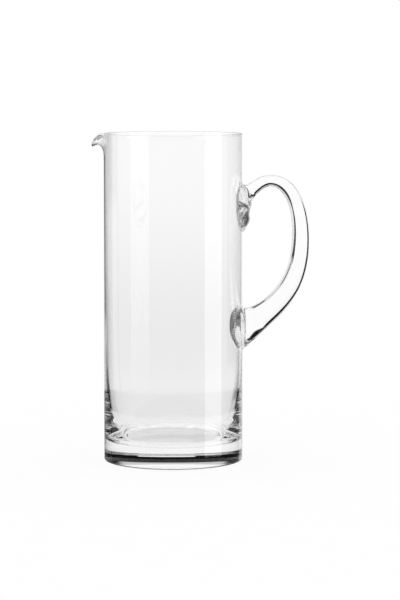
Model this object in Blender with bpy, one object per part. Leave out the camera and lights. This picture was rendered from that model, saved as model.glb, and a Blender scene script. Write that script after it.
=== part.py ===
# A tall glass jug: a turned vessel with a pulled pouring lip, and a handle of hot glass sealed to its wall.
# Metres, +Z up. The lip points along -X, the handle along +X, and the foot stands on z = 0.

import math

import bmesh
import bpy
from mathutils import Vector
from mathutils.geometry import interpolate_bezier

# Vessel sizes
BODY_HEIGHT = 0.240
BODY_RADIUS = 0.051
RIM_WALL = 0.0009
FLOOR_THICKNESS = 0.014
FOOT_SWELL = 0.0094
SWELL_HEIGHT = 0.024
FLOOR_FILLET = 0.008
HEEL_RADIUS = 0.0012
FOOT_RING_WIDTH = 0.0016
PUNT_DEPTH = 0.0023

# Pouring lip, measured from the outside of the wall and from the rim
LIP_REACH = 0.0087
LIP_DROP = 0.0087
LIP_HEIGHT = 0.020
LIP_HALF_WIDTH = 0.013

# Handle path, measured outwards from the wall and downwards from the rim
HANDLE_REACH = 0.0486
ARCH_DROP = 0.030
ARCH_OUT = 0.020
GRIP_DROP = 0.075
LOWER_SEAL_DROP = 0.1427
UPPER_SEAL_DROP = 0.0465
LOWER_RISE_ANGLE = math.radians(30)
UPPER_FALL_ANGLE = math.radians(38)

# Strap of the handle, flat-sided with rounded edges and thickest where the gather was first set down
LOWER_THICKNESS = 0.0163
GRIP_THICKNESS = 0.0112
ARCH_THICKNESS = 0.0085
UPPER_THICKNESS = 0.0100
STRAP_WIDTH = 0.021

# Roots of the strap, where it flares out to meet its seals
LOWER_ROOT_HEIGHT = 0.0315
LOWER_ROOT_WIDTH = 0.040
LOWER_FLARE = 0.0095
LOWER_SPREAD = 0.018
UPPER_ROOT_HEIGHT = 0.022
UPPER_ROOT_WIDTH = 0.026
UPPER_FLARE = 0.003
UPPER_SPREAD = 0.010

# Lower seal, the pad of glass that was set down first and spread round the wall
LOWER_PAD_LENGTH = 0.033
LOWER_PAD_WIDTH = 0.058
LOWER_PAD_THICKNESS = 0.0055

# Tail, the folded end of the strap pressed down the wall under the upper seal
TAIL_DROP = 0.0543
TAIL_LENGTH = 0.036
TAIL_WIDTH = 0.042
TAIL_THICKNESS = 0.0062

# Air between the handle's mesh and the wall that it is fused to
SEAL_GAP = 0.0003

# Finish of the glass
GLASS_COLOUR = (0.93, 0.95, 0.95, 1.0)
GLASS_ROUGHNESS = 0.02
GLASS_INDEX = 1.5

# Fineness of the meshes, in counts
LIP_COLUMNS = 18
PLAIN_COLUMNS = 60
PUNT_RINGS = 5
HEEL_RINGS = 3
LIP_RINGS = 7
RIM_RINGS = 5
SWELL_RINGS = 12
FILLET_RINGS = 6
FILLET_TRIES = 20
STRAP_SIDES = 24
ARC_STATIONS = 14
LEAD_STATIONS = 3
PAD_SIDES = 28
CUTTER_SIDES = 120

# Shares and exponents of the curves: how square the sections of the strap and the pads are, how deep a pad's
# middle lies in the wall against its thickness, how suddenly the wall turns out and down into the lip, how
# narrow the lip's nose is against its root, and how full the handle's bends are
STRAP_SQUARENESS = 5.0
ROOT_SQUARENESS = 2.0
PAD_SQUARENESS = 2.5
PAD_SINK = 0.4
LIP_OUT_POWER = 3.0
LIP_DOWN_POWER = 3.6
LIP_ROOT_POWER = 2.0
LIP_NOSE_POWER = 7.0
BELLY_FULLNESS = 0.42
SHOULDER_FULLNESS = 0.61
CREST_FULLNESS = 0.33
LANDING_FULLNESS = 0.5

# Points closer than this are one point
WELD = 1e-6


def clear_scene():
    """Remove every object, so that the model stands alone."""
    for thing in list(bpy.data.objects):
        bpy.data.objects.remove(thing, do_unlink=True)


def clear_glass(name):
    """Return a new clear glass material."""
    material = bpy.data.materials.new(name)
    material.use_nodes = True
    shader = material.node_tree.nodes["Principled BSDF"]
    shader.inputs["Base Color"].default_value = GLASS_COLOUR
    shader.inputs["Roughness"].default_value = GLASS_ROUGHNESS
    shader.inputs["Metallic"].default_value = 0.0
    shader.inputs["Transmission Weight"].default_value = 1.0
    shader.inputs["IOR"].default_value = GLASS_INDEX
    return material


def add_object(name, shape, material=None):
    """Turn a bmesh into a smooth shaded object with its faces pointing out."""
    bmesh.ops.recalc_face_normals(shape, faces=shape.faces)
    mesh = bpy.data.meshes.new(name)
    shape.to_mesh(mesh)
    shape.free()
    mesh.shade_smooth()
    thing = bpy.data.objects.new(name, mesh)
    bpy.context.collection.objects.link(thing)
    if material is not None:
        mesh.materials.append(material)
    return thing


def add_guide(name, shape):
    """Add an object that only shapes another one and isn't a piece of the jug."""
    guide = add_object(name, shape)
    guide.hide_render = True
    guide.display_type = "WIRE"
    return guide


def shares(count):
    """Return count + 1 even steps from 0 to 1."""
    return [step / count for step in range(count + 1)]


def swell(height):
    """Return how much thicker than at the rim the wall is at this height."""
    return FOOT_SWELL * math.exp((FLOOR_THICKNESS - height) / SWELL_HEIGHT)


def floor_fillet():
    """Return the height where the fillet of the floor leaves the wall, and the lean of the wall there."""
    top = FLOOR_THICKNESS + FLOOR_FILLET
    for _ in range(FILLET_TRIES):
        lean = math.atan(swell(top) / SWELL_HEIGHT)
        top = FLOOR_THICKNESS + FLOOR_FILLET * (1 - math.sin(lean))
    return top, lean


def vessel_profile():
    """Return half a section as (radius, height), from under the middle of the foot to the inside floor."""
    punt_radius = BODY_RADIUS - HEEL_RADIUS - FOOT_RING_WIDTH
    points = [(punt_radius * s, PUNT_DEPTH * (1 - s * s)) for s in shares(PUNT_RINGS)]
    for s in shares(HEEL_RINGS):
        turn = s * math.pi / 2
        out = BODY_RADIUS - HEEL_RADIUS * (1 - math.sin(turn))
        points.append((out, HEEL_RADIUS * (1 - math.cos(turn))))

    # The outside of the wall has rings only where the lip bends it
    rim_radius = RIM_WALL / 2
    bend = BODY_HEIGHT - LIP_HEIGHT
    bend_heights = [bend + (LIP_HEIGHT - rim_radius) * s for s in shares(LIP_RINGS)]
    points += [(BODY_RADIUS, height) for height in bend_heights[:-1]]
    for s in shares(RIM_RINGS):
        turn = s * math.pi
        out = BODY_RADIUS - rim_radius * (1 - math.cos(turn))
        points.append((out, BODY_HEIGHT - rim_radius * (1 - math.sin(turn))))
    inner_radius = BODY_RADIUS - RIM_WALL
    points += [(inner_radius, height) for height in reversed(bend_heights[:-1])]

    # Below the lip the wall swells towards the foot, and a fillet turns it into the flat floor
    fillet_top, lean = floor_fillet()
    for s in shares(SWELL_RINGS)[1:-1]:
        height = fillet_top + (bend - fillet_top) * (1 - s) ** 2
        points.append((inner_radius - swell(height) + swell(bend), height))
    floor_radius = inner_radius - swell(fillet_top) + swell(bend) - FLOOR_FILLET * math.cos(lean)
    for s in shares(FILLET_RINGS):
        turn = (math.pi / 2 - lean) * (1 - s)
        out = floor_radius + FLOOR_FILLET * math.sin(turn)
        points.append((out, FLOOR_THICKNESS + FLOOR_FILLET * (1 - math.cos(turn))))
    points.append((0.0, FLOOR_THICKNESS))
    return points


def bent_wall(depth, pull):
    """Return where the middle of the wall goes, as (outwards, upwards) from the rim, for a pull of 0 to 1."""
    share = max(1 - depth / LIP_HEIGHT, 0.0)
    reach = LIP_REACH + RIM_WALL / 2
    outwards = reach * pull**LIP_ROOT_POWER * share**LIP_OUT_POWER
    downwards = LIP_DROP * pull**LIP_NOSE_POWER * share**LIP_DOWN_POWER
    return Vector((outwards, -depth - downwards))


def pull_lip(shape):
    """Bend the wall out and down at -X, keeping the thickness of its glass."""
    wall_middle = BODY_RADIUS - RIM_WALL / 2
    half_angle = LIP_HALF_WIDTH / BODY_RADIUS
    for vert in shape.verts:
        depth = BODY_HEIGHT - vert.co.z
        angle = math.atan2(vert.co.y, -vert.co.x)
        if depth >= LIP_HEIGHT or abs(angle) >= half_angle:
            continue
        pull = math.cos(math.pi / 2 * angle / half_angle)
        offset = math.hypot(vert.co.x, vert.co.y) - wall_middle
        middle = bent_wall(depth, pull)
        along = (middle - bent_wall(depth + WELD, pull)).normalized()
        radius = wall_middle + middle.x + offset * along.y
        height = BODY_HEIGHT + middle.y - offset * along.x
        vert.co = (-radius * math.cos(angle), radius * math.sin(angle), height)


def make_vessel(material):
    """Turn the section round Z, in finer steps at the lip, and pull the lip."""
    shape = bmesh.new()
    half_angle = LIP_HALF_WIDTH / BODY_RADIUS
    start = math.pi - half_angle
    verts = [
        shape.verts.new((radius * math.cos(start), radius * math.sin(start), height))
        for radius, height in vessel_profile()
    ]
    edge = [shape.edges.new(pair) for pair in zip(verts, verts[1:])]
    for angle, columns in ((2 * half_angle, LIP_COLUMNS), (2 * (math.pi - half_angle), PLAIN_COLUMNS)):
        swept = bmesh.ops.spin(
            shape, geom=edge, axis=(0, 0, 1), cent=(0, 0, 0), angle=angle, steps=columns
        )
        edge = [part for part in swept["geom_last"] if isinstance(part, bmesh.types.BMEdge)]
    bmesh.ops.remove_doubles(shape, verts=shape.verts, dist=WELD)
    pull_lip(shape)
    return add_object("jug_body", shape, material)


def handle_curves():
    """Return three curves as (start, pull, pull, end), each point being (outwards from the axis, height)."""
    lower = Vector((BODY_RADIUS, BODY_HEIGHT - LOWER_SEAL_DROP))
    grip = Vector((BODY_RADIUS + HANDLE_REACH - GRIP_THICKNESS / 2, BODY_HEIGHT - GRIP_DROP))
    arch = Vector((BODY_RADIUS + ARCH_OUT, BODY_HEIGHT - ARCH_DROP - ARCH_THICKNESS / 2))
    upper = Vector((BODY_RADIUS, BODY_HEIGHT - UPPER_SEAL_DROP))
    rise = Vector((math.cos(LOWER_RISE_ANGLE), math.sin(LOWER_RISE_ANGLE)))
    fall = Vector((math.cos(UPPER_FALL_ANGLE), math.sin(UPPER_FALL_ANGLE)))
    up = Vector((0, 1))
    out = Vector((1, 0))
    belly = BELLY_FULLNESS * (grip - lower).length
    return [
        (lower, lower + rise * belly, grip - up * belly, grip),
        (
            grip,
            grip + up * SHOULDER_FULLNESS * (arch.y - grip.y),
            arch + out * SHOULDER_FULLNESS * (grip.x - arch.x),
            arch,
        ),
        (arch, arch - out * CREST_FULLNESS * ARCH_OUT, upper + fall * LANDING_FULLNESS * ARCH_OUT, upper),
    ]


def wall_sag(half_width):
    """Return how far the round wall falls away from a flat plane at this distance from its middle."""
    return BODY_RADIUS - math.sqrt(BODY_RADIUS**2 - half_width**2)


def spread(distance, length):
    """Return 1 where a root meets its seal, falling smoothly to 0 at this length away from it."""
    return (1 + math.cos(math.pi * min(distance / length, 1.0))) / 2


def strap_line():
    """Return the points along the middle of the strap and its thickness there, before its roots flare."""
    thicknesses = (LOWER_THICKNESS, GRIP_THICKNESS, ARCH_THICKNESS, UPPER_THICKNESS)
    points, plain = [], []
    for number, corners in enumerate(handle_curves()):
        arc = interpolate_bezier(*corners, ARC_STATIONS + 1)
        first, last = thicknesses[number : number + 2]
        for point, share in list(zip(arc, shares(ARC_STATIONS)))[min(number, 1) :]:
            points.append(point)
            plain.append(first + (last - first) * share)
    return points, plain


def strap_stations():
    """Return (middle, lean, thickness, width, squareness) of each ring, from the lower root up."""
    points, plain = strap_line()
    distance = [0.0]
    for before, after in zip(points, points[1:]):
        distance.append(distance[-1] + (after - before).length)
    lower_sag = wall_sag(LOWER_ROOT_WIDTH / 2)
    upper_sag = wall_sag(UPPER_ROOT_WIDTH / 2)

    def section_at(from_lower, from_upper):
        lower_share = spread(from_lower + lower_sag, LOWER_SPREAD)
        upper_share = spread(from_upper + upper_sag, UPPER_SPREAD)
        width = STRAP_WIDTH + (LOWER_ROOT_WIDTH - STRAP_WIDTH) * lower_share
        width += (UPPER_ROOT_WIDTH - STRAP_WIDTH) * upper_share
        squareness = STRAP_SQUARENESS + (ROOT_SQUARENESS - STRAP_SQUARENESS) * (lower_share + upper_share)
        return width, squareness

    stations = []
    for number, point in enumerate(points):
        before = points[max(number - 1, 0)]
        after = points[min(number + 1, len(points) - 1)]
        lean = math.atan2(after.y - before.y, after.x - before.x) % (2 * math.pi)
        from_lower = distance[number]
        from_upper = distance[-1] - distance[number]
        low = math.exp(-from_lower / LOWER_FLARE)
        high = math.exp(-from_upper / UPPER_FLARE)
        lean += (0 - lean) * low + (math.pi - lean) * high
        thickness = plain[number]
        thickness += (LOWER_ROOT_HEIGHT - LOWER_THICKNESS) * low
        thickness += (UPPER_ROOT_HEIGHT - UPPER_THICKNESS) * high
        stations.append((point, lean, thickness, *section_at(from_lower, from_upper)))

    # Both ends run on into the wall, which then cuts them to its own round
    for s in shares(LEAD_STATIONS)[1:]:
        inwards = Vector((lower_sag * s, 0))
        section = section_at(-lower_sag * s, distance[-1])
        stations.insert(0, (points[0] - inwards, 0.0, LOWER_ROOT_HEIGHT, *section))
        inwards = Vector((upper_sag * s, 0))
        section = section_at(distance[-1], -upper_sag * s)
        stations.append((points[-1] - inwards, math.pi, UPPER_ROOT_HEIGHT, *section))
    return stations


def squarish(share, squareness):
    """Push a sine or cosine outwards, so that a circle swells towards a square with rounded corners."""
    return math.copysign(abs(share) ** (2 / squareness), share)


def strap_shape():
    """Skin the strap's flat-sided rings into one closed tube."""
    shape = bmesh.new()
    rings = []
    for middle, lean, thickness, width, squareness in strap_stations():
        ring = []
        for side in range(STRAP_SIDES):
            turn = 2 * math.pi * side / STRAP_SIDES
            across = thickness / 2 * squarish(math.cos(turn), squareness)
            out = middle.x - across * math.sin(lean)
            height = middle.y + across * math.cos(lean)
            sideways = width / 2 * squarish(math.sin(turn), squareness)
            ring.append(shape.verts.new((out, sideways, height)))
        rings.append(ring)
    for ring, following in zip(rings, rings[1:]):
        for side in range(STRAP_SIDES):
            beside = (side + 1) % STRAP_SIDES
            shape.faces.new((ring[side], ring[beside], following[beside], following[side]))
    shape.faces.new(rings[0])
    shape.faces.new(rings[-1])
    return shape


def pad_shape(drop, length, width, thickness):
    """Make a flattened, squarish drop of glass that is wrapped round the wall and half sunk into it."""
    shape = bmesh.new()
    bmesh.ops.create_uvsphere(shape, u_segments=PAD_SIDES, v_segments=PAD_SIDES // 2, radius=1.0)
    for vert in shape.verts:
        unit = vert.co / sum(abs(part) ** PAD_SQUARENESS for part in vert.co) ** (1 / PAD_SQUARENESS)
        radius = BODY_RADIUS + thickness * (unit.x * (1 + PAD_SINK) - PAD_SINK)
        angle = unit.y * width / 2 / BODY_RADIUS
        height = BODY_HEIGHT - drop + unit.z * length / 2
        vert.co = (radius * math.cos(angle), radius * math.sin(angle), height)
    return shape


def wall_cutter_shape():
    """Make the outside of the wall, with the gap that keeps the handle off it."""
    radius = BODY_RADIUS + SEAL_GAP
    shape = bmesh.new()
    bmesh.ops.create_cone(
        shape,
        cap_ends=True,
        segments=CUTTER_SIDES,
        radius1=radius,
        radius2=radius,
        depth=2 * BODY_HEIGHT,
    )
    bmesh.ops.translate(shape, verts=shape.verts, vec=(0, 0, BODY_HEIGHT / 2))
    return shape


def make_handle(material):
    """Join the strap to its lower seal and its tail, and cut all three to the round of the wall."""
    handle = add_object("handle", strap_shape(), material)
    pad = pad_shape(LOWER_SEAL_DROP, LOWER_PAD_LENGTH, LOWER_PAD_WIDTH, LOWER_PAD_THICKNESS)
    tail = pad_shape(TAIL_DROP, TAIL_LENGTH, TAIL_WIDTH, TAIL_THICKNESS)
    steps = (
        ("UNION", "lower_seal_guide", pad),
        ("UNION", "tail_guide", tail),
        ("DIFFERENCE", "wall_guide", wall_cutter_shape()),
    )
    guides = []
    for operation, name, shape in steps:
        guide = add_guide(name, shape)
        cut = handle.modifiers.new(name, "BOOLEAN")
        cut.operation = operation
        cut.object = guide
        guides.append(guide)
    return handle, guides


def stand_on_origin(things, length_ends):
    """Hang everything on one empty, so that the middle of the jug's length stands over the origin."""
    stand = bpy.data.objects.new("stand", None)
    bpy.context.collection.objects.link(stand)
    stand.location.x = -sum(length_ends) / 2
    for thing in things:
        thing.parent = stand


def main():
    clear_scene()
    body = make_vessel(clear_glass("body_glass"))
    handle, guides = make_handle(clear_glass("handle_glass"))
    lip_end = min(vert.co.x for vert in body.data.vertices)
    handle_end = max(vert.co.x for vert in handle.data.vertices)
    stand_on_origin([body, handle, *guides], (lip_end, handle_end))
    print("length", handle_end - lip_end, "axis of the vessel at x", -(lip_end + handle_end) / 2)


main()
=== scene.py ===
# %% [markdown]
# # A tall glass jug
#
# The object is a straight-sided jug of clear glass: a vessel with a heavy base, a pouring lip pulled from
# its rim, and a strap handle that was set down hot against the wall. Two measured solids come in first as
# a fixed frame. Everything after that makes finer glass in the same place and lights it, because clear
# glass on white is seen only by what it bends and mirrors.

import math

import bmesh
import bpy
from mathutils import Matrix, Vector
from mathutils.geometry import interpolate_bezier


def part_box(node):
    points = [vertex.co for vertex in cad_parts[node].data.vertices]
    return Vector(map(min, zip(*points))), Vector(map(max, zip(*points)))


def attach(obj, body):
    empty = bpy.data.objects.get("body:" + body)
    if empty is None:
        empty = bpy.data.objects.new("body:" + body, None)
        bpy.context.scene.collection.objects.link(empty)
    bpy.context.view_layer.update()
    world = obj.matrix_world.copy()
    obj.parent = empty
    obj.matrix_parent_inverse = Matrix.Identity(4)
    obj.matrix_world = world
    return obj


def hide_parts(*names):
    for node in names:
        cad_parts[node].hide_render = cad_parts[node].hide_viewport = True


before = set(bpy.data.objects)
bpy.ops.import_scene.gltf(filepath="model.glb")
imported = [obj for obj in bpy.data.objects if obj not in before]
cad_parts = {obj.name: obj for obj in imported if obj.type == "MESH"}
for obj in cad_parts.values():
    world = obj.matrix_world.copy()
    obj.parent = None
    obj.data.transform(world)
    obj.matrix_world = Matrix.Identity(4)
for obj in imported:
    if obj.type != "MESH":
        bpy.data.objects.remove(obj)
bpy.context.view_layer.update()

# %% [markdown]
# ## Sizes of the vessel
#
# The vessel's height, radius and axis could be typed in again, but then they could drift from its solid,
# so they are read from the solid's box. The other sizes are those of the glass itself, in metres: a thin
# rim, a wall that swells towards a thick floor, and a shallow hollow under the foot, so that only a ring
# touches the table.

# %% Vessel sizes
vessel_low, vessel_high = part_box("jug_body")
BODY_HEIGHT = vessel_high.z
BODY_RADIUS = (vessel_high.y - vessel_low.y) / 2
AXIS_X = vessel_high.x - BODY_RADIUS
RIM_WALL = 0.0009
FLOOR_THICKNESS = 0.014
FOOT_SWELL = 0.0094
SWELL_HEIGHT = 0.024
FLOOR_FILLET = 0.008
HEEL_RADIUS = 0.0012
FOOT_RING_WIDTH = 0.0016
PUNT_DEPTH = 0.0023
print(f"height {BODY_HEIGHT:.4f} radius {BODY_RADIUS:.4f} axis at x {AXIS_X:.5f}")

# %% [markdown]
# ## Two helpers
#
# Every shape below is built with bmesh, Blender's mesh workshop, round an axis at zero. Objects could
# also be made with the operators behind the menus, but those depend on what is selected. One helper
# counts even steps. The other turns a finished bmesh into an object: it faces the skin outwards, which
# glass needs to bend light the right way, and moves the shape to the vessel's axis.


# %% Helpers
def shares(count):
    """Return count + 1 even steps from 0 to 1."""
    return [step / count for step in range(count + 1)]


def add_piece(name, shape, *materials):
    """Turn a bmesh into a smooth shaded object that stands on the vessel's axis."""
    bmesh.ops.recalc_face_normals(shape, faces=shape.faces)
    bmesh.ops.translate(shape, verts=shape.verts, vec=(AXIS_X, 0, 0))
    mesh = bpy.data.meshes.new(name)
    shape.to_mesh(mesh)
    shape.free()
    mesh.shade_smooth()
    piece = bpy.data.objects.new(name, mesh)
    bpy.context.scene.collection.objects.link(piece)
    for material in materials:
        mesh.materials.append(material)
    print(name, len(mesh.vertices), "points", len(mesh.polygons), "faces")
    return piece


print("four steps:", shares(4))

# %% [markdown]
# ## Shader sums in plain Python
#
# A node tree could be wired box by box, but a sum is easier to read. `Wire` wraps one socket, so that
# `1 - mask * 0.5` adds the Math nodes for it. `Bench.node` adds any other node: its type, its settings,
# and then the numbers or wires of its sockets. Colours go through `Bench.blend`, because a Math node turns
# a colour grey.


# %% Wires
class Wire:
    """A socket whose arithmetic adds Math nodes to its bench."""

    def __init__(self, bench, socket):
        self.bench = bench
        self.socket = socket

    def sum(self, operation, *values):
        return self.bench.node("ShaderNodeMath", {"operation": operation}, dict(enumerate(values)))

    def __add__(self, other):
        return self.sum("ADD", self, other)

    def __radd__(self, other):
        return self.sum("ADD", other, self)

    def __sub__(self, other):
        return self.sum("SUBTRACT", self, other)

    def __rsub__(self, other):
        return self.sum("SUBTRACT", other, self)

    def __mul__(self, other):
        return self.sum("MULTIPLY", self, other)

    def __rmul__(self, other):
        return self.sum("MULTIPLY", other, self)

    def most(self, other):
        """Return the larger of two values."""
        return self.sum("MAXIMUM", self, other)

    def beside(self, name):
        """Return another output of the node that this wire comes from."""
        return Wire(self.bench, self.socket.node.outputs[name])

    def ramp(self, start, end):
        """Rise smoothly from 0 at start to 1 at end."""
        settings = {"interpolation_type": "SMOOTHSTEP"}
        return self.bench.node("ShaderNodeMapRange", settings, {0: self, 1: start, 2: end, 3: 0.0, 4: 1.0})

    def band(self, low, high, soft):
        """Return 1 between two values and 0 outside them, with soft edges. None leaves a side open."""
        rise = None if low is None else self.ramp(low - soft, low + soft)
        fall = None if high is None else 1 - self.ramp(high - soft, high + soft)
        if rise is None or fall is None:
            return rise or fall or 1.0
        return rise * fall


# %% Benches
class Bench:
    """The workbench of one node tree."""

    def __init__(self, owner):
        owner.use_nodes = True
        self.tree = owner.node_tree
        self.tree.nodes.clear()

    def node(self, kind, settings=None, inputs=None, output=0):
        made = self.tree.nodes.new(kind)
        for name, value in (settings or {}).items():
            setattr(made, name, value)
        for key, value in (inputs or {}).items():
            if isinstance(value, Wire):
                self.tree.links.new(value.socket, made.inputs[key])
            else:
                made.inputs[key].default_value = value
        return Wire(self, made.outputs[output]) if made.outputs else None

    def blend(self, share, first, second):
        """Mix two colours by a wire that runs from 0 to 1."""
        return self.node("ShaderNodeMix", {"data_type": "RGBA"}, {0: share, 6: first, 7: second}, 2)


# %% [markdown]
# ## Clear glass
#
# Soda glass bends light by an index of about 1.5. One number would make flawless glass, but hand-worked
# glass has cords, faint streaks where the melt wasn't quite even. Here a Noise texture lets them tint the
# glass by a hair and, through Bump, ripple its skin by a few microns. They are shallow on the vessel,
# because a deep ripple would break up the straight edges of the lamps that its wall mirrors. A finer
# noise roughens the lowest part of the foot in spots, as tables scuff it.

# %% Glass of both gathers
GLASS_INDEX = 1.5
CLEAREST = (1.0, 1.0, 1.0, 1)
CORD_TINT = (0.991, 0.993, 0.992, 1)
CORD_SIZE = 0.030
CORD_DETAIL = 2.0
BODY_CORD_DEPTH = 0.000002
HANDLE_CORD_DEPTH = 0.000008
WEAR_SIZE = 0.0015
WEAR_DETAIL = 4.0
WEAR_SPOTS = (0.45, 0.65)
WEAR_HEIGHT = 0.0008
WEAR_ROUGHNESS = 0.25


def clear_glass(name, cord_depth):
    """Make the clear glass of one gather: faint cords, a breath of grey-green, a foot scuffed by tables."""
    material = bpy.data.materials.new(name)
    bench = Bench(material)
    place = bench.node("ShaderNodeTexCoord", {}, {}, "Object")
    height = bench.node("ShaderNodeSeparateXYZ", {}, {0: place}, "Z")
    streaks = {"Vector": place, "Scale": 1 / CORD_SIZE, "Detail": CORD_DETAIL}
    cords = bench.node("ShaderNodeTexNoise", {}, streaks)
    spots = {"Vector": place, "Scale": 1 / WEAR_SIZE, "Detail": WEAR_DETAIL}
    scuffs = bench.node("ShaderNodeTexNoise", {}, spots)
    worn = (1 - height.ramp(WEAR_HEIGHT / 2, WEAR_HEIGHT)) * scuffs.ramp(*WEAR_SPOTS)
    normal = bench.node("ShaderNodeBump", {}, {"Strength": 1.0, "Distance": cord_depth, "Height": cords})
    shader = bench.node(
        "ShaderNodeBsdfPrincipled",
        {},
        {
            "Base Color": bench.blend(cords, CLEAREST, CORD_TINT),
            "Roughness": WEAR_ROUGHNESS * worn,
            "IOR": GLASS_INDEX,
            "Transmission Weight": 1.0,
            "Normal": normal,
        },
    )
    bench.node("ShaderNodeOutputMaterial", {}, {"Surface": shader})
    print(name, "cords", cord_depth, "m deep")
    return material


body_glass = clear_glass("body_glass", BODY_CORD_DEPTH)
handle_glass = clear_glass("handle_glass", HANDLE_CORD_DEPTH)

# %% [markdown]
# ## Outside of the vessel
#
# Apart from its lip the vessel is round, so it is one outline spun about an axis. A cylinder with a
# Solidify modifier would be quicker, but it has an even wall, a sharp foot and a square rim. The outline
# is drawn point by point instead: from under the middle of the foot, over the foot ring and the heel, up
# the wall, and round the fire-polished rim. Its points crowd together towards the rim, where the lip will
# bend them.

# %% Outside of the vessel
PUNT_RINGS = 24
HEEL_RINGS = 8
WALL_RINGS = 30
LIP_RINGS = 28
RIM_RINGS = 12
LIP_HEIGHT = 0.020
RIM_RADIUS = RIM_WALL / 2
LIP_START = BODY_HEIGHT - LIP_HEIGHT


def crowd(share):
    """Bend even steps so that they crowd together towards 1."""
    return 1 - (1 - share) ** 2


LIP_LEVELS = [LIP_START + (LIP_HEIGHT - RIM_RADIUS) * crowd(s) for s in shares(LIP_RINGS)]


def outside_points():
    """Return (radius, height) from under the middle of the foot to the inner edge of the rim."""
    punt_radius = BODY_RADIUS - HEEL_RADIUS - FOOT_RING_WIDTH
    points = [(punt_radius * s, PUNT_DEPTH * (1 - s * s)) for s in shares(PUNT_RINGS)]
    points.append((punt_radius + FOOT_RING_WIDTH / 2, 0.0))
    for s in shares(HEEL_RINGS):
        turn = s * math.pi / 2
        out = BODY_RADIUS - HEEL_RADIUS * (1 - math.sin(turn))
        points.append((out, HEEL_RADIUS * (1 - math.cos(turn))))
    points += [(BODY_RADIUS, HEEL_RADIUS + (LIP_START - HEEL_RADIUS) * s) for s in shares(WALL_RINGS)[1:]]
    points += [(BODY_RADIUS, height) for height in LIP_LEVELS[1:-1]]
    for s in shares(RIM_RINGS):
        turn = s * math.pi
        out = BODY_RADIUS - RIM_RADIUS * (1 - math.cos(turn))
        points.append((out, BODY_HEIGHT - RIM_RADIUS * (1 - math.sin(turn))))
    return points


print(len(outside_points()), "points outside")

# %% [markdown]
# ## Inside of the vessel
#
# The wall isn't even: it swells towards the foot, and that wedge of glass bends the light into the dark
# curved lines of the lower corners. An exponential gives such a swell with two sizes. A fillet then turns
# the wall into the flat floor. Where the fillet starts depends on the wall's lean there, and the lean on
# the height, so the two are worked out in turn a few times until they agree.

# %% Inside of the vessel
SWELL_RINGS = 90
FILLET_RINGS = 24
FILLET_TRIES = 20
FLOOR_RINGS = 8


def swell(height):
    """Return how much thicker than at the rim the wall is at this height."""
    return FOOT_SWELL * math.exp((FLOOR_THICKNESS - height) / SWELL_HEIGHT)


def inner_radius(height):
    """Return the radius of the inside at this height, below the lip and above the fillet."""
    return BODY_RADIUS - RIM_WALL - swell(height) + swell(LIP_START)


def inside_points():
    """Return (radius, height) from below the rim, down the wall, to the middle of the floor."""
    points = [(BODY_RADIUS - RIM_WALL, height) for height in reversed(LIP_LEVELS[:-1])]
    fillet_top = FLOOR_THICKNESS + FLOOR_FILLET
    for _ in range(FILLET_TRIES):
        lean = math.atan(swell(fillet_top) / SWELL_HEIGHT)
        fillet_top = FLOOR_THICKNESS + FLOOR_FILLET * (1 - math.sin(lean))
    for s in shares(SWELL_RINGS)[1:-1]:
        height = LIP_START + (fillet_top - LIP_START) * crowd(s)
        points.append((inner_radius(height), height))
    floor_radius = inner_radius(fillet_top) - FLOOR_FILLET * math.cos(lean)
    for s in shares(FILLET_RINGS):
        turn = (math.pi / 2 - lean) * (1 - s)
        out = floor_radius + FLOOR_FILLET * math.sin(turn)
        points.append((out, FLOOR_THICKNESS + FLOOR_FILLET * (1 - math.cos(turn))))
    points += [(floor_radius * (1 - s), FLOOR_THICKNESS) for s in shares(FLOOR_RINGS)[1:]]
    return points


print(len(inside_points()), "points inside, floor", FLOOR_THICKNESS, "m thick")

# %% [markdown]
# ## The pouring lip
#
# A narrow part of the soft rim was drawn out and down. It could be sculpted by hand, but a rule gives the
# same lip each time. The middle of the wall moves, most at the rim and not at all 20 mm below it, most at
# the middle of the lip and not at all at its sides. Both skins then stand off that moved middle, so that
# the glass keeps its thickness, apart from a small bead along the nose.

# %% Pull the lip
LIP_HALF_WIDTH = 0.013
LIP_HALF_ANGLE = LIP_HALF_WIDTH / BODY_RADIUS
LIP_REACH = 0.0087
LIP_DROP = 0.0087
LIP_OUT_POWER = 3.0
LIP_DOWN_POWER = 3.6
LIP_ROOT_POWER = 2.0
LIP_NOSE_POWER = 7.0
LIP_BEAD = 1.2
LIP_BEAD_HEIGHT = 0.0022
WELD = 1e-6


def bent_wall(depth, pull):
    """Return where the middle of the wall goes, as (outwards, upwards) from the rim, for a pull of 0 to 1."""
    share = max(1 - depth / LIP_HEIGHT, 0.0)
    reach = LIP_REACH + RIM_RADIUS
    outwards = reach * pull**LIP_ROOT_POWER * share**LIP_OUT_POWER
    downwards = LIP_DROP * pull**LIP_NOSE_POWER * share**LIP_DOWN_POWER
    return Vector((outwards, -depth - downwards))


def pull_lip(shape):
    """Bend the wall out and down at -X, with a bead of glass along the nose."""
    wall_middle = BODY_RADIUS - RIM_RADIUS
    for vert in shape.verts:
        depth = BODY_HEIGHT - vert.co.z
        angle = math.atan2(vert.co.y, -vert.co.x)
        if depth >= LIP_HEIGHT or abs(angle) >= LIP_HALF_ANGLE:
            continue
        pull = math.cos(math.pi / 2 * angle / LIP_HALF_ANGLE)
        offset = math.hypot(vert.co.x, vert.co.y) - wall_middle
        offset *= 1 + LIP_BEAD * pull * math.exp(-((depth / LIP_BEAD_HEIGHT) ** 2))
        middle = bent_wall(depth, pull)
        along = (middle - bent_wall(depth + WELD, pull)).normalized()
        radius = wall_middle + middle.x + offset * along.y
        height = BODY_HEIGHT + middle.y - offset * along.x
        vert.co = (-radius * math.cos(angle), radius * math.sin(angle), height)


print(f"the lip takes up {math.degrees(2 * LIP_HALF_ANGLE):.1f} degrees of the rim")

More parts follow.
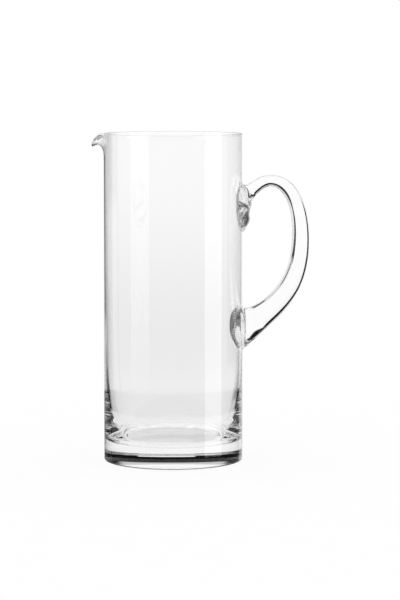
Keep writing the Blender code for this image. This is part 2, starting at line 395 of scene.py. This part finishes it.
# %% [markdown]
# ## Spin the vessel
#
# A Screw modifier would spin the outline in even steps. Here bmesh's spin does it in two sweeps, fine
# across the lip and coarser round the plain wall, which spends the points where the shape needs them. The
# seam is welded and the lip is pulled last. The new vessel then takes the place of its solid.

# %% Spin the vessel
LIP_COLUMNS = 48
PLAIN_COLUMNS = 220


def make_vessel():
    """Turn the section round Z, in finer steps at the lip, and pull the lip."""
    shape = bmesh.new()
    start = math.pi - LIP_HALF_ANGLE
    verts = [
        shape.verts.new((radius * math.cos(start), radius * math.sin(start), height))
        for radius, height in outside_points() + inside_points()
    ]
    edge = [shape.edges.new(pair) for pair in zip(verts, verts[1:])]
    lip_sweep = (2 * LIP_HALF_ANGLE, LIP_COLUMNS)
    plain_sweep = (2 * (math.pi - LIP_HALF_ANGLE), PLAIN_COLUMNS)
    for angle, columns in (lip_sweep, plain_sweep):
        swept = bmesh.ops.spin(
            shape, geom=edge, axis=(0, 0, 1), cent=(0, 0, 0), angle=angle, steps=columns
        )
        edge = [part for part in swept["geom_last"] if isinstance(part, bmesh.types.BMEdge)]
    bmesh.ops.remove_doubles(shape, verts=shape.verts, dist=WELD)
    pull_lip(shape)
    return add_piece("vessel", shape, body_glass)


vessel = make_vessel()
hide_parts("jug_body")
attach(vessel, "root")

# %% [markdown]
# ## The line of the handle
#
# The handle is a second gather of glass. It leaves the wall at a wide lower seal, rises to an upright
# grip, bends over an arch and lands on the wall again. A Curve object with a bevel would follow that line
# with one section, but this strap changes its section all the way. So three Bezier curves give only the
# points along its middle, and the thickness runs evenly from each seal, grip and arch to the next.

# %% Line of the strap
HANDLE_REACH = 0.0486
ARCH_DROP = 0.030
ARCH_OUT = 0.020
GRIP_DROP = 0.075
LOWER_SEAL_DROP = 0.1427
UPPER_SEAL_DROP = 0.0465
LOWER_RISE_ANGLE = math.radians(30)
UPPER_FALL_ANGLE = math.radians(38)
LOWER_THICKNESS = 0.0163
GRIP_THICKNESS = 0.0120
ARCH_THICKNESS = 0.0085
UPPER_THICKNESS = 0.0100
BELLY_FULLNESS = 0.42
SHOULDER_FULLNESS = 0.61
CREST_FULLNESS = 0.33
LANDING_FULLNESS = 0.5
ARC_STATIONS = 36


def handle_curves():
    """Return three curves as (start, pull, pull, end), each point being (outwards from the axis, height)."""
    lower = Vector((BODY_RADIUS, BODY_HEIGHT - LOWER_SEAL_DROP))
    grip = Vector((BODY_RADIUS + HANDLE_REACH - GRIP_THICKNESS / 2, BODY_HEIGHT - GRIP_DROP))
    arch = Vector((BODY_RADIUS + ARCH_OUT, BODY_HEIGHT - ARCH_DROP - ARCH_THICKNESS / 2))
    upper = Vector((BODY_RADIUS, BODY_HEIGHT - UPPER_SEAL_DROP))
    rise = Vector((math.cos(LOWER_RISE_ANGLE), math.sin(LOWER_RISE_ANGLE)))
    fall = Vector((math.cos(UPPER_FALL_ANGLE), math.sin(UPPER_FALL_ANGLE)))
    up = Vector((0, 1))
    out = Vector((1, 0))
    belly = BELLY_FULLNESS * (grip - lower).length
    return [
        (lower, lower + rise * belly, grip - up * belly, grip),
        (
            grip,
            grip + up * SHOULDER_FULLNESS * (arch.y - grip.y),
            arch + out * SHOULDER_FULLNESS * (grip.x - arch.x),
            arch,
        ),
        (arch, arch - out * CREST_FULLNESS * ARCH_OUT, upper + fall * LANDING_FULLNESS * ARCH_OUT, upper),
    ]


def strap_line():
    """Return the points along the middle of the strap and its thickness there, before its roots flare."""
    thicknesses = (LOWER_THICKNESS, GRIP_THICKNESS, ARCH_THICKNESS, UPPER_THICKNESS)
    points, plain = [], []
    for number, corners in enumerate(handle_curves()):
        arc = interpolate_bezier(*corners, ARC_STATIONS + 1)
        first, last = thicknesses[number : number + 2]
        for point, share in list(zip(arc, shares(ARC_STATIONS)))[min(number, 1) :]:
            points.append(point)
            plain.append(first + (last - first) * share)
    return points, plain


print(len(strap_line()[0]), "points along the strap")

# %% [markdown]
# ## Width of the strap
#
# Where the soft strap met the wall it spread, so both roots are wider than the grip and their corners
# rounder. One width all along would look like a bent bar stuck on. A cosine fades each root into the
# strap. The wall is round, so the sides of a root reach it later than its middle does: the sag is how
# much later.

# %% Width of the strap
STRAP_WIDTH = 0.021
LOWER_ROOT_WIDTH = 0.026
LOWER_SPREAD = 0.018
UPPER_ROOT_WIDTH = 0.026
UPPER_SPREAD = 0.010
STRAP_SQUARENESS = 5.0
ROOT_SQUARENESS = 4.0


def wall_sag(half_width):
    """Return how far the round wall falls away from a flat plane at this distance from its middle."""
    return BODY_RADIUS - math.sqrt(BODY_RADIUS**2 - half_width**2)


LOWER_SAG = wall_sag(LOWER_ROOT_WIDTH / 2)
UPPER_SAG = wall_sag(UPPER_ROOT_WIDTH / 2)


def spread(distance, length):
    """Return 1 where a root meets its seal, falling smoothly to 0 at this length away from it."""
    return (1 + math.cos(math.pi * min(distance / length, 1.0))) / 2


def section_at(from_lower, from_upper):
    """Return (width, squareness) of the strap at these distances from its two roots."""
    lower_share = spread(from_lower + LOWER_SAG, LOWER_SPREAD)
    upper_share = spread(from_upper + UPPER_SAG, UPPER_SPREAD)
    width = STRAP_WIDTH + (LOWER_ROOT_WIDTH - STRAP_WIDTH) * lower_share
    width += (UPPER_ROOT_WIDTH - STRAP_WIDTH) * upper_share
    squareness = STRAP_SQUARENESS + (ROOT_SQUARENESS - STRAP_SQUARENESS) * (lower_share + upper_share)
    return width, squareness


print(f"sag {LOWER_SAG * 1000:.2f} mm at the lower root, {UPPER_SAG * 1000:.2f} mm at the upper")

# %% [markdown]
# ## Stations along the strap
#
# Each point of the line becomes a station with a lean and a section. Towards both roots the stations turn
# upright, so that they meet the wall squarely, and they grow taller. This is done by a share that dies
# away with the distance from the root. Both ends run on into the wall, which later cuts them to its own
# round.

# %% Stations
LOWER_ROOT_HEIGHT = 0.0315
LOWER_FLARE = 0.0095
UPPER_ROOT_HEIGHT = 0.022
UPPER_FLARE = 0.003
LEAD_STATIONS = 4


def strap_stations():
    """Return (middle, lean, thickness, width, squareness) of each ring, from the lower root up."""
    points, plain = strap_line()
    distance = [0.0]
    for before, after in zip(points, points[1:]):
        distance.append(distance[-1] + (after - before).length)
    stations = []
    for number, point in enumerate(points):
        before = points[max(number - 1, 0)]
        after = points[min(number + 1, len(points) - 1)]
        lean = math.atan2(after.y - before.y, after.x - before.x) % (2 * math.pi)
        from_lower = distance[number]
        from_upper = distance[-1] - distance[number]
        low = math.exp(-from_lower / LOWER_FLARE)
        high = math.exp(-from_upper / UPPER_FLARE)
        lean += (0 - lean) * low + (math.pi - lean) * high
        thickness = plain[number]
        thickness += (LOWER_ROOT_HEIGHT - LOWER_THICKNESS) * low
        thickness += (UPPER_ROOT_HEIGHT - UPPER_THICKNESS) * high
        stations.append((point, lean, thickness, *section_at(from_lower, from_upper)))
    for s in shares(LEAD_STATIONS)[1:]:
        inwards = Vector((LOWER_SAG * s, 0))
        section = section_at(-LOWER_SAG * s, distance[-1])
        stations.insert(0, (points[0] - inwards, 0.0, LOWER_ROOT_HEIGHT, *section))
        inwards = Vector((UPPER_SAG * s, 0))
        section = section_at(distance[-1], -UPPER_SAG * s)
        stations.append((points[-1] - inwards, math.pi, UPPER_ROOT_HEIGHT, *section))
    return stations


print(len(strap_stations()), "stations")

# %% [markdown]
# ## Skin of the strap
#
# A ring is laid round each station, and the rings are joined into one closed tube. The sine and cosine of
# a circle, pushed outwards by a power, give a square with rounded corners, so one number says how flat
# the sides are. Along the upright grip the side towards the fingers gets rounder corners than the side
# away from them, which widens the dark lines that a corner of clear glass draws.

# %% Skin of the strap
STRAP_SIDES = 64
INNER_SQUARENESS = 3.8
INNER_FADE = 3


def squarish(share, squareness):
    """Push a sine or cosine outwards, so that a circle swells towards a square with rounded corners."""
    return math.copysign(abs(share) ** (2 / squareness), share)


def strap_ring(shape, middle, lean, thickness, width, squareness):
    """Lay one ring of points round a station."""
    ring = []
    for side in range(STRAP_SIDES):
        turn = 2 * math.pi * side / STRAP_SIDES
        inner = max(0, math.sin(lean)) ** INNER_FADE if math.cos(turn) > 0 else 0
        rounding = squareness + inner * (min(squareness, INNER_SQUARENESS) - squareness)
        across = thickness / 2 * squarish(math.cos(turn), rounding)
        out = middle.x - across * math.sin(lean)
        height = middle.y + across * math.cos(lean)
        sideways = width / 2 * squarish(math.sin(turn), rounding)
        ring.append(shape.verts.new((out, sideways, height)))
    return ring


def strap_shape():
    """Skin the strap's flat-sided rings into one closed tube."""
    shape = bmesh.new()
    rings = [strap_ring(shape, *station) for station in strap_stations()]
    for ring, following in zip(rings, rings[1:]):
        for side in range(STRAP_SIDES):
            beside = (side + 1) % STRAP_SIDES
            shape.faces.new((ring[side], ring[beside], following[beside], following[side]))
    shape.faces.new(rings[0])
    shape.faces.new(rings[-1])
    return shape


handle = add_piece("strap_handle", strap_shape(), handle_glass)

# %% [markdown]
# ## Seals and tail
#
# Pressed against the wall, hot glass spreads into a flat oval seal. Under the upper landing the end of
# the strap is folded down into a tail, narrower downwards and crimped. Both could be sculpted, but they
# only need to be smooth and to hug the wall: each is a sphere that is pushed towards a rounded box,
# flattened, and wrapped round the vessel, half sunk into it.

# %% Shape of a seal
PAD_SIDES = 64
PAD_SQUARENESS = 2.5
PAD_SINK = 0.4
CRIMP_PACE = 8
CRIMP_SLANT = 2


def pad_shape(drop, length, width, thickness, taper, crimp):
    """Make a flattened, squarish drop of glass that is wrapped round the wall and half sunk into it."""
    shape = bmesh.new()
    bmesh.ops.create_uvsphere(shape, u_segments=PAD_SIDES, v_segments=PAD_SIDES // 2, radius=1.0)
    for vert in shape.verts:
        unit = vert.co / sum(abs(part) ** PAD_SQUARENESS for part in vert.co) ** (1 / PAD_SQUARENESS)
        narrowing = 1 - taper * (1 - unit.z) / 2
        pinch = narrowing * (1 + crimp * math.sin(CRIMP_PACE * unit.z + CRIMP_SLANT * unit.y))
        radius = BODY_RADIUS + thickness * pinch * (unit.x * (1 + PAD_SINK) - PAD_SINK)
        angle = unit.y * narrowing * width / 2 / BODY_RADIUS
        height = BODY_HEIGHT - drop + unit.z * length / 2
        vert.co = (radius * math.cos(angle), radius * math.sin(angle), height)
    return shape


# %% Lower seal
LOWER_PAD_LENGTH = 0.033
LOWER_PAD_WIDTH = 0.058
LOWER_PAD_THICKNESS = 0.0034

seal_shape = pad_shape(LOWER_SEAL_DROP, LOWER_PAD_LENGTH, LOWER_PAD_WIDTH, LOWER_PAD_THICKNESS, 0, 0)
lower_seal = add_piece("lower_seal", seal_shape, handle_glass)

# %% Tail
TAIL_DROP = 0.0543
TAIL_LENGTH = 0.036
TAIL_WIDTH = 0.042
TAIL_THICKNESS = 0.0068
TAIL_TAPER = 0.25
TAIL_CRIMP = 0.10

tail_shape = pad_shape(TAIL_DROP, TAIL_LENGTH, TAIL_WIDTH, TAIL_THICKNESS, TAIL_TAPER, TAIL_CRIMP)
tail = add_piece("tail", tail_shape, handle_glass)

# %% [markdown]
# ## The round of the wall
#
# The handle has to fit the vessel's wall. Its end could be modelled to that round, but it is surer to cut
# it with a cylinder. The cutter is a hair smaller than the wall, so the handle sinks 0.2 mm into the
# vessel's glass. A ray then passes from one to the other with no air between them, as it does where glass
# is fused.

# %% Cutter
SEAL_SINK = 0.0002
CUTTER_SIDES = 512


def wall_cutter_shape():
    """Make the round of the wall, a hair inside its outer surface."""
    radius = BODY_RADIUS - SEAL_SINK
    shape = bmesh.new()
    bmesh.ops.create_cone(
        shape, cap_ends=True, segments=CUTTER_SIDES, radius1=radius, radius2=radius, depth=2 * BODY_HEIGHT
    )
    bmesh.ops.translate(shape, verts=shape.verts, vec=(0, 0, BODY_HEIGHT / 2))
    return shape


wall_round = add_piece("wall_round", wall_cutter_shape(), handle_glass)

# %% [markdown]
# ## Make the handle one piece
#
# Strap, seal and tail could stay three overlapping meshes, but light would bend at each skin that is
# hidden inside the glass. Boolean modifiers join them into one skin and cut it to the wall, and their
# result is kept as the mesh. Edges sharper than 35 degrees stay crisp, so that smooth shading doesn't
# blur the rims of the seals.

# %% Make the handle
CRISP_ANGLE = math.radians(35)


def cut(piece, operation, guide):
    """Apply one Boolean with a guide and throw the guide away."""
    step = piece.modifiers.new(guide.name, "BOOLEAN")
    step.operation = operation
    step.object = guide
    graph = bpy.context.evaluated_depsgraph_get()
    mesh = bpy.data.meshes.new_from_object(piece.evaluated_get(graph))
    piece.modifiers.clear()
    piece.data = mesh
    bpy.data.objects.remove(guide)


cut(handle, "UNION", lower_seal)
cut(handle, "UNION", tail)
cut(handle, "DIFFERENCE", wall_round)
handle.data.shade_smooth()
handle.data.set_sharp_from_angle(angle=CRISP_ANGLE)
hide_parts("handle")
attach(handle, "root")
print("handle", len(handle.data.vertices), "points")

# %% [markdown]
# ## How the glass sees the studio
#
# Clear glass has hardly a colour of its own. A photographer draws it with a white card behind, black
# flags beside it and softboxes in front. Such lamps and flags could be placed as objects, but they would
# also light the table and stand in the way of other views. So the studio is painted by direction, and
# Light Path tells how a ray came there: mirrored, or bent, and how often. A wall seen edge on bends it
# once or twice, both walls of the vessel three times or more, and the seals add at least two.

# %% Kinds of rays
BOTH_WALLS = (2.4, 2.6)
ONE_SEAL = (4.4, 4.6)
BOTH_FLANKS = (6.4, 6.6)


def light_paths(bench):
    """Return a mask for bent rays, how often a ray was bent, and a mask for mirrored rays."""
    through = bench.node("ShaderNodeLightPath", {}, {}, "Is Transmission Ray")
    bends = through.beside("Transmission Depth")
    mirrored = through.beside("Is Glossy Ray") * (1 - through)
    return through, bends, mirrored


# %% [markdown]
# ## Paper under the jug
#
# The jug stands on plain white. Lamps bright enough to make a floor white would flatten the glass, so the
# paper glows a little by itself, and a matt part keeps the shadow under the foot. A faint grain keeps it
# from being one dead tone. Seen through the edges of the glass, only the paper near the foot and a wedge
# behind it are light; elsewhere bent rays meet paper painted nearly black, a painted shade. Rays through
# both walls, and all that lies further off, are handed on to the world by a Transparent shader.

# %% Paper
DARK = 0.004
DEGREES = 180 / math.pi
GRAIN_SCALE = 60.0
GRAIN_DETAIL = 5.0
PAPER_LIGHT = (0.106, 0.106, 0.106, 1)
PAPER_SHADE = (0.094, 0.094, 0.094, 1)
GLOW_LIGHT = (1.0, 1.0, 1.0, 1)
GLOW_SHADE = (0.994, 0.994, 0.994, 1)
GLOW_STRENGTH = 0.9
NEAR_EDGE = (0.095, 0.105)
FAR_EDGE = (0.19, 0.21)
WEDGE_HALF = 45
WEDGE_NARROWING = 14
WEDGE_NARROWS = (0.135, 0.155)
WEDGE_SOFT = 1.5


def lit_paper(bench, place):
    """Return what of the paper is light behind an edge of the glass, and the distance from the axis."""
    x = bench.node("ShaderNodeSeparateXYZ", {}, {0: place}, "X")
    y = x.beside("Y")
    x = x - AXIS_X
    aside = x.sum("ABSOLUTE", x.sum("ARCTAN2", x, y) * DEGREES)
    away = x.sum("SQRT", x * x + y * y)
    half = WEDGE_HALF - WEDGE_NARROWING * away.ramp(*WEDGE_NARROWS)
    wedge = 1 - aside.ramp(half - WEDGE_SOFT, half + WEDGE_SOFT)
    near = 1 - away.ramp(*NEAR_EDGE)
    return near.most(wedge), away


def make_paper():
    """Make the paper, white to the eye, with painted shade: nearly black for rays that the glass bends, apart
    from its lit patches.
    """
    material = bpy.data.materials.new("pale_table")
    bench = Bench(material)
    place = bench.node("ShaderNodeNewGeometry", {}, {}, "Position")
    lit, away = lit_paper(bench, place)
    through, bends, _ = light_paths(bench)
    # Painted shade: rays bent by the glass see nearly black paper outside the near part and the wedge.
    painted_shade = through * (1 - lit)
    clear = bends.ramp(*BOTH_WALLS) * through
    beyond = through * clear.most(away.ramp(*FAR_EDGE))
    fibres = {"Vector": place, "Scale": GRAIN_SCALE, "Detail": GRAIN_DETAIL}
    grain = bench.node("ShaderNodeTexNoise", {}, fibres)
    paper = bench.blend(grain, PAPER_LIGHT, PAPER_SHADE)
    sheen = bench.blend(grain, GLOW_LIGHT, GLOW_SHADE)
    matt = bench.node("ShaderNodeBsdfDiffuse", {}, {"Color": paper}, "BSDF")
    glow = bench.node("ShaderNodeEmission", {}, {"Color": sheen, "Strength": GLOW_STRENGTH}, "Emission")
    both = bench.node("ShaderNodeAddShader", {}, {0: matt, 1: glow})
    dark = bench.node("ShaderNodeBsdfDiffuse", {}, {"Color": (DARK, DARK, DARK, 1)}, "BSDF")
    shaded = bench.node("ShaderNodeMixShader", {}, {0: painted_shade, 1: both, 2: dark})
    open_air = bench.node("ShaderNodeBsdfTransparent", {}, {"Color": (1, 1, 1, 1)}, "BSDF")
    surface = bench.node("ShaderNodeMixShader", {}, {0: beyond, 1: shaded, 2: open_air})
    bench.node("ShaderNodeOutputMaterial", {}, {"Surface": surface})
    print("paper", len(bench.tree.nodes), "nodes")
    return material


# %% Table
TABLE_RADIUS = 1.5
TABLE_SIDES = 128
TABLE_GAP = 0.0002


def make_table():
    """Lay the paper a hair below the foot, where mirrored rays don't see it."""
    shape = bmesh.new()
    bmesh.ops.create_circle(shape, cap_ends=True, segments=TABLE_SIDES, radius=TABLE_RADIUS)
    mesh = bpy.data.meshes.new("table")
    shape.to_mesh(mesh)
    shape.free()
    mesh.materials.append(make_paper())
    table = bpy.data.objects.new("table", mesh)
    bpy.context.scene.collection.objects.link(table)
    table.location.z = -TABLE_GAP
    table.visible_glossy = False
    print("table", TABLE_RADIUS, "m in radius")


make_table()

# %% [markdown]
# ## Cards, flags and softboxes
#
# Each line below is a card that gives light, or a flag that takes it away. First comes how strong it is,
# then where it lies round the jug, then how high, both as (from, to, softness of the edge) in degrees.
# Round the jug 0 is straight behind it and 90 is on the handle's side. Upwards 0 is level. None leaves a
# side open. No real studio was measured for this: the values were found by trial, by comparing renders
# with the photograph.

# %% Cards for the edges of the glass
OPEN = (None, None, 0)
EDGE_CARDS = (
    (1.0, (-12.5, 19.5, 1), (None, 3.9, 0.7)),
    (0.8, (-20, 31, 2), (None, -7.5, 0.5)),
    (0.9, (-74, -40.5, 2), (-34, -0.5, 0.7)),
    (0.8, (None, -77, 3), (-34, 4, 2)),
    (0.8, (77, None, 3), (-34, 4, 2)),
    (0.8, (36, 80, 3), (-34, -11, 2)),
    (0.6, (None, -37, 2), (None, -22, 2)),
    (0.6, (-14, None, 2), (None, -22, 2)),
    (0.6, (-37.5, 37.5, 7.5), (15, None, 1)),
    (0.9, OPEN, (29, None, 7)),
)
print(len(EDGE_CARDS), "cards for the edges")

# %% Flags behind both walls and the seals
WALL_FLAGS = (
    (1.0, (-31, -19, 1), (-20, -8, 1.5)),
    (0.8, (12, 36, 3), (-19, -3.5, 1)),
    (0.75, OPEN, (5, 18, 1)),
)
ONE_SEAL_FLAGS = ((0.97, (8, 48, 3), (None, 45, 5)),)
BOTH_FLANKS_FLAGS = ((0.97, (-55, 55, 5), (None, -2.5, 0.5)),)
print(len(WALL_FLAGS) + len(ONE_SEAL_FLAGS) + len(BOTH_FLANKS_FLAGS), "flags behind the glass")

# %% The room that the glass mirrors
ROOM_EDGE = (-7.15, -6.9)
DIM_FLAGS = ((0.7, (-35, -18, 1.5), (-4.6, None, 0.4)),)
ROOM_FLAGS = ((0.9, (-62, -36, 2), OPEN),) + DIM_FLAGS
BACK_WIDTH = (-37, 37, 3)
BACK_CARDS = (
    (0.9, OPEN, (-7.025, None, 0.125)),
    (0.9, (8, None, 2), OPEN),
)
SOFTBOXES = (
    (1.2, (-141, -107, 0.5), (-6, None, 2)),
    (2.2, (92, 126, 0.5), (-9.4, None, 0.2)),
)
print(len(SOFTBOXES), "softboxes")

# %% [markdown]
# ## The world
#
# Rays bent at an edge of the glass meet the cards on black, which draws its dark outlines. Rays through
# both walls meet an even tone that is a little darker low down, less the flags. Mirrored rays meet the
# room with its two softboxes. All others meet plain white. An image of a studio could do the same, but
# this script reads no image, and here each card is a line that can be moved by itself.

# %% Sheets of light
WALL_TONE = 0.845
WALL_RISE = 0.13
WALL_RISE_EDGE = (-6, 1)
WALL_FOOT = 0.03
WALL_FOOT_EDGE = (-12, -8)
ROOM_FLOOR = 0.04
ROOM_LIGHT = 0.6


class Studio:
    """Directions round the jug, and the sheets of light that are laid out in them."""

    def __init__(self, bench):
        direction = bench.node("ShaderNodeTexCoord", {}, {}, "Generated")
        x = bench.node("ShaderNodeSeparateXYZ", {}, {0: direction}, "X")
        self.behind = x.sum("ARCTAN2", x, x.beside("Y")) * DEGREES
        self.up = x.sum("ARCSINE", x.beside("Z")) * DEGREES

    def sheet(self, cards):
        """Return the strongest of these cards in each direction."""
        light = None
        for level, sideways, upwards in cards:
            card = level * self.behind.band(*sideways) * self.up.band(*upwards)
            light = card if light is None else light.most(card)
        return light

    def walls(self, bends):
        """Return the tone behind both walls of the vessel."""
        tone = WALL_TONE + WALL_RISE * self.up.ramp(*WALL_RISE_EDGE)
        tone = tone + WALL_FOOT * (1 - self.up.ramp(*WALL_FOOT_EDGE))
        one_seal = bends.ramp(*ONE_SEAL) * self.sheet(ONE_SEAL_FLAGS)
        both_flanks = bends.ramp(*BOTH_FLANKS) * self.sheet(BOTH_FLANKS_FLAGS)
        return tone * (1 - self.sheet(WALL_FLAGS)) * (1 - one_seal.most(both_flanks))

    def room(self):
        """Return what the glass mirrors."""
        room = (ROOM_FLOOR + ROOM_LIGHT * self.up.ramp(*ROOM_EDGE)) * (1 - self.sheet(ROOM_FLAGS))
        back = self.sheet(BACK_CARDS) * self.behind.band(*BACK_WIDTH) * (1 - self.sheet(DIM_FLAGS))
        return room.most(back) + self.sheet(SOFTBOXES)


# %% World
def make_world():
    """Give each kind of ray its own light."""
    world = bpy.data.worlds.new("studio")
    bpy.context.scene.world = world
    bench = Bench(world)
    studio = Studio(bench)
    through, bends, mirrored = light_paths(bench)
    clear = bends.ramp(*BOTH_WALLS) * through
    edge = through * (1 - clear)
    light = 1 + edge * (DARK + studio.sheet(EDGE_CARDS) - 1)
    light = light + clear * (studio.walls(bends) - 1) + mirrored * (studio.room() - 1)
    back = bench.node("ShaderNodeBackground", {}, {"Color": light, "Strength": 1.0})
    bench.node("ShaderNodeOutputWorld", {}, {"Surface": back})
    print("world", len(bench.tree.nodes), "nodes")


make_world()

# %% [markdown]
# ## Camera
#
# The camera stands a little below the height of the rim and looks slightly down. It could be placed by
# eye, but its height, tilt, sideways place and lens were fitted to positions measured on the jug in the
# photograph, at several distances, of which 1.2 m was taken. The fit gives the focal length in pixels of
# the 600 pixel tall frame.

# %% Camera
CAMERA_DISTANCE = 1.2
CAMERA_HEIGHT = 0.19927
CAMERA_PITCH = 0.06772
CAMERA_RIGHT = 0.01972
FOCAL_PIXELS = 1632.27
IMAGE_HEIGHT = 600
SENSOR = 36.0

camera_data = bpy.data.cameras.new("camera")
camera_data.sensor_width = SENSOR
camera_data.lens = FOCAL_PIXELS / IMAGE_HEIGHT * SENSOR
camera = bpy.data.objects.new("camera", camera_data)
bpy.context.scene.collection.objects.link(camera)
camera.location = (AXIS_X + CAMERA_RIGHT, -CAMERA_DISTANCE, CAMERA_HEIGHT)
camera.rotation_euler = (math.pi / 2 - CAMERA_PITCH, 0, 0)
bpy.context.scene.camera = camera
print("camera", tuple(camera.location), "lens", round(camera_data.lens, 2))

# %% [markdown]
# ## Colours and bounces
#
# The Standard view shows a colour as it is written. A ray through this jug crosses many skins, most of
# all in the base and the seals, and a low limit on bounces would end it in black. The limits are raised
# for that.

# %% Render settings that belong to the scene
BOUNCES = 32

scene = bpy.context.scene
scene.view_settings.view_transform = "Standard"
scene.cycles.max_bounces = BOUNCES
scene.cycles.glossy_bounces = BOUNCES
scene.cycles.transmission_bounces = BOUNCES
scene.cycles.use_denoising = True
print("bounces", BOUNCES)
